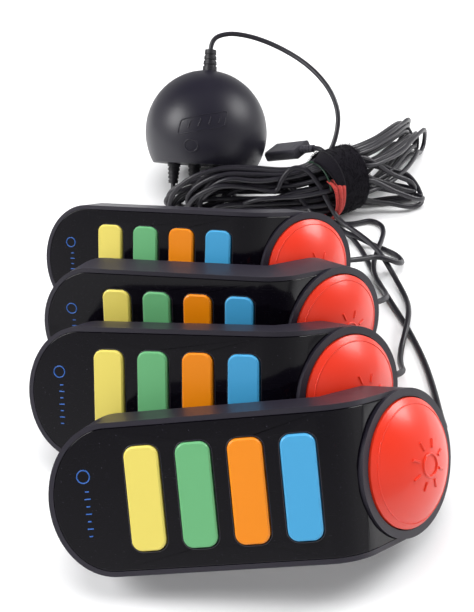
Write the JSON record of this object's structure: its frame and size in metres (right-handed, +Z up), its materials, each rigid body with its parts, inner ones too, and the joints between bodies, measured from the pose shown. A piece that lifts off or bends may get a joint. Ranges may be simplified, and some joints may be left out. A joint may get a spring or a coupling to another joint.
{
  "type": "quiz buzzer set",
  "caption": "Wired quiz buzzer set: bent hand buzzers with bar buttons and a round dome button, a ball-shaped hub and a tied hank of cord.",
  "frame": {"origin": "on the table, under the middle of the box round the buzzers and the hub", "axes": "+X towards the buzzers' heads, +Y from the nearest buzzer to the hub, +Z up"},
  "size_m": [0.2902, 0.4266, 0.105],
  "materials": {
    "satin_black": "fine satin moulding",
    "gloss_black": "polished, lightly scratched",
    "red_gloss": "smooth gloss",
    "yellow_satin": "satin",
    "green_satin": "satin",
    "orange_satin": "satin",
    "blue_satin": "satin",
    "silicone": "matt silicone",
    "board_green": "solder mask",
    "cord_black": "semi-gloss jacket",
    "screw_steel": "plated",
    "gland_rubber": "matt",
    "hub_satin": "satin",
    "hook_and_loop": "fuzzy loop tape",
    "tie_red": "woven tape",
    "plug_black": "moulded satin",
    "plug_steel": "nickel plated"
  },
  "bodies": {
    "set": {"base_cover_1": "satin_black", "top_cover_1": "satin_black", "face_plate_1": "gloss_black", "keypad_mat_1": "silicone", "circuit_board_1": "board_green", "buzzer_cord_1": "cord_black", "base_cover_2": "satin_black", "top_cover_2": "satin_black", "face_plate_2": "gloss_black", "keypad_mat_2": "silicone", "circuit_board_2": "board_green", "buzzer_cord_2": "cord_black", "base_cover_3": "satin_black", "top_cover_3": "satin_black", "face_plate_3": "gloss_black", "keypad_mat_3": "silicone", "circuit_board_3": "board_green", "buzzer_cord_3": "cord_black", "base_cover_4": "satin_black", "top_cover_4": "satin_black", "face_plate_4": "gloss_black", "keypad_mat_4": "silicone", "circuit_board_4": "board_green", "buzzer_cord_4": "cord_black", "case_screws": "screw_steel", "buzzer_glands": "gland_rubber", "hub_dome": "hub_satin", "hub_base": "hub_satin", "hub_board": "board_green", "hub_lead_gland": "gland_rubber", "hub_outlet_glands": "gland_rubber", "hub_screws": "screw_steel", "usb_lead": "cord_black", "cord_hank": "cord_black", "strap": "hook_and_loop", "hank_tie": "tie_red", "plug_body": "plug_black", "plug_shell": "plug_steel", "plug_cap": "plug_black"},
    "yellow_button_1": {"yellow_button_1": "yellow_satin"},
    "green_button_1": {"green_button_1": "green_satin"},
    "orange_button_1": {"orange_button_1": "orange_satin"},
    "blue_button_1": {"blue_button_1": "blue_satin"},
    "dome_button_1": {"dome_button_1": "red_gloss"},
    "yellow_button_2": {"yellow_button_2": "yellow_satin"},
    "green_button_2": {"green_button_2": "green_satin"},
    "orange_button_2": {"orange_button_2": "orange_satin"},
    "blue_button_2": {"blue_button_2": "blue_satin"},
    "dome_button_2": {"dome_button_2": "red_gloss"},
    "yellow_button_3": {"yellow_button_3": "yellow_satin"},
    "green_button_3": {"green_button_3": "green_satin"},
    "orange_button_3": {"orange_button_3": "orange_satin"},
    "blue_button_3": {"blue_button_3": "blue_satin"},
    "dome_button_3": {"dome_button_3": "red_gloss"},
    "yellow_button_4": {"yellow_button_4": "yellow_satin"},
    "green_button_4": {"green_button_4": "green_satin"},
    "orange_button_4": {"orange_button_4": "orange_satin"},
    "blue_button_4": {"blue_button_4": "blue_satin"},
    "dome_button_4": {"dome_button_4": "red_gloss"}
  },
  "joints": [
    {"name": "yellow_press_1", "type": "slide", "parent": "set", "child": "yellow_button_1", "axis": [0.0967, 0.7874, -0.6088], "range_m": [0, 0.0015], "stiffness_N_per_m": 600, "springref_m": -0.001},
    {"name": "green_press_1", "type": "slide", "parent": "set", "child": "green_button_1", "axis": [0.0967, 0.7874, -0.6088], "range_m": [0, 0.0015], "stiffness_N_per_m": 600, "springref_m": -0.001},
    {"name": "orange_press_1", "type": "slide", "parent": "set", "child": "orange_button_1", "axis": [0.0967, 0.7874, -0.6088], "range_m": [0, 0.0015], "stiffness_N_per_m": 600, "springref_m": -0.001},
    {"name": "blue_press_1", "type": "slide", "parent": "set", "child": "blue_button_1", "axis": [0.0967, 0.7874, -0.6088], "range_m": [0, 0.0015], "stiffness_N_per_m": 600, "springref_m": -0.001},
    {"name": "dome_press_1", "type": "slide", "parent": "set", "child": "dome_button_1", "axis": [-0.6715, 0.5393, -0.5082], "range_m": [0, 0.004], "stiffness_N_per_m": 500, "springref_m": -0.003},
    {"name": "yellow_press_2", "type": "slide", "parent": "set", "child": "yellow_button_2", "axis": [0.21, 0.812, -0.5446], "range_m": [0, 0.0015], "stiffness_N_per_m": 600, "springref_m": -0.001},
    {"name": "green_press_2", "type": "slide", "parent": "set", "child": "green_button_2", "axis": [0.21, 0.812, -0.5446], "range_m": [0, 0.0015], "stiffness_N_per_m": 600, "springref_m": -0.001},
    {"name": "orange_press_2", "type": "slide", "parent": "set", "child": "orange_button_2", "axis": [0.21, 0.812, -0.5446], "range_m": [0, 0.0015], "stiffness_N_per_m": 600, "springref_m": -0.001},
    {"name": "blue_press_2", "type": "slide", "parent": "set", "child": "blue_button_2", "axis": [0.21, 0.812, -0.5446], "range_m": [0, 0.0015], "stiffness_N_per_m": 600, "springref_m": -0.001},
    {"name": "dome_press_2", "type": "slide", "parent": "set", "child": "dome_button_2", "axis": [-0.5861, 0.6719, -0.4528], "range_m": [0, 0.004], "stiffness_N_per_m": 500, "springref_m": -0.003},
    {"name": "yellow_press_3", "type": "slide", "parent": "set", "child": "yellow_button_3", "axis": [0.2007, 0.9052, -0.3746], "range_m": [0, 0.0015], "stiffness_N_per_m": 600, "springref_m": -0.001},
    {"name": "green_press_3", "type": "slide", "parent": "set", "child": "green_button_3", "axis": [0.2007, 0.9052, -0.3746], "range_m": [0, 0.0015], "stiffness_N_per_m": 600, "springref_m": -0.001},
    {"name": "orange_press_3", "type": "slide", "parent": "set", "child": "orange_button_3", "axis": [0.2007, 0.9052, -0.3746], "range_m": [0, 0.0015], "stiffness_N_per_m": 600, "springref_m": -0.001},
    {"name": "blue_press_3", "type": "slide", "parent": "set", "child": "blue_button_3", "axis": [0.2007, 0.9052, -0.3746], "range_m": [0, 0.0015], "stiffness_N_per_m": 600, "springref_m": -0.001},
    {"name": "dome_press_3", "type": "slide", "parent": "set", "child": "dome_button_3", "axis": [-0.5937, 0.743, -0.3089], "range_m": [0, 0.004], "stiffness_N_per_m": 500, "springref_m": -0.003},
    {"name": "yellow_press_4", "type": "slide", "parent": "set", "child": "yellow_button_4", "axis": [0.2581, 0.8444, -0.4695], "range_m": [0, 0.0015], "stiffness_N_per_m": 600, "springref_m": -0.001},
    {"name": "green_press_4", "type": "slide", "parent": "set", "child": "green_button_4", "axis": [0.2581, 0.8444, -0.4695], "range_m": [0, 0.0015], "stiffness_N_per_m": 600, "springref_m": -0.001},
    {"name": "orange_press_4", "type": "slide", "parent": "set", "child": "orange_button_4", "axis": [0.2581, 0.8444, -0.4695], "range_m": [0, 0.0015], "stiffness_N_per_m": 600, "springref_m": -0.001},
    {"name": "blue_press_4", "type": "slide", "parent": "set", "child": "blue_button_4", "axis": [0.2581, 0.8444, -0.4695], "range_m": [0, 0.0015], "stiffness_N_per_m": 600, "springref_m": -0.001},
    {"name": "dome_press_4", "type": "slide", "parent": "set", "child": "dome_button_4", "axis": [-0.5449, 0.7429, -0.3887], "range_m": [0, 0.004], "stiffness_N_per_m": 500, "springref_m": -0.003}
  ]
}
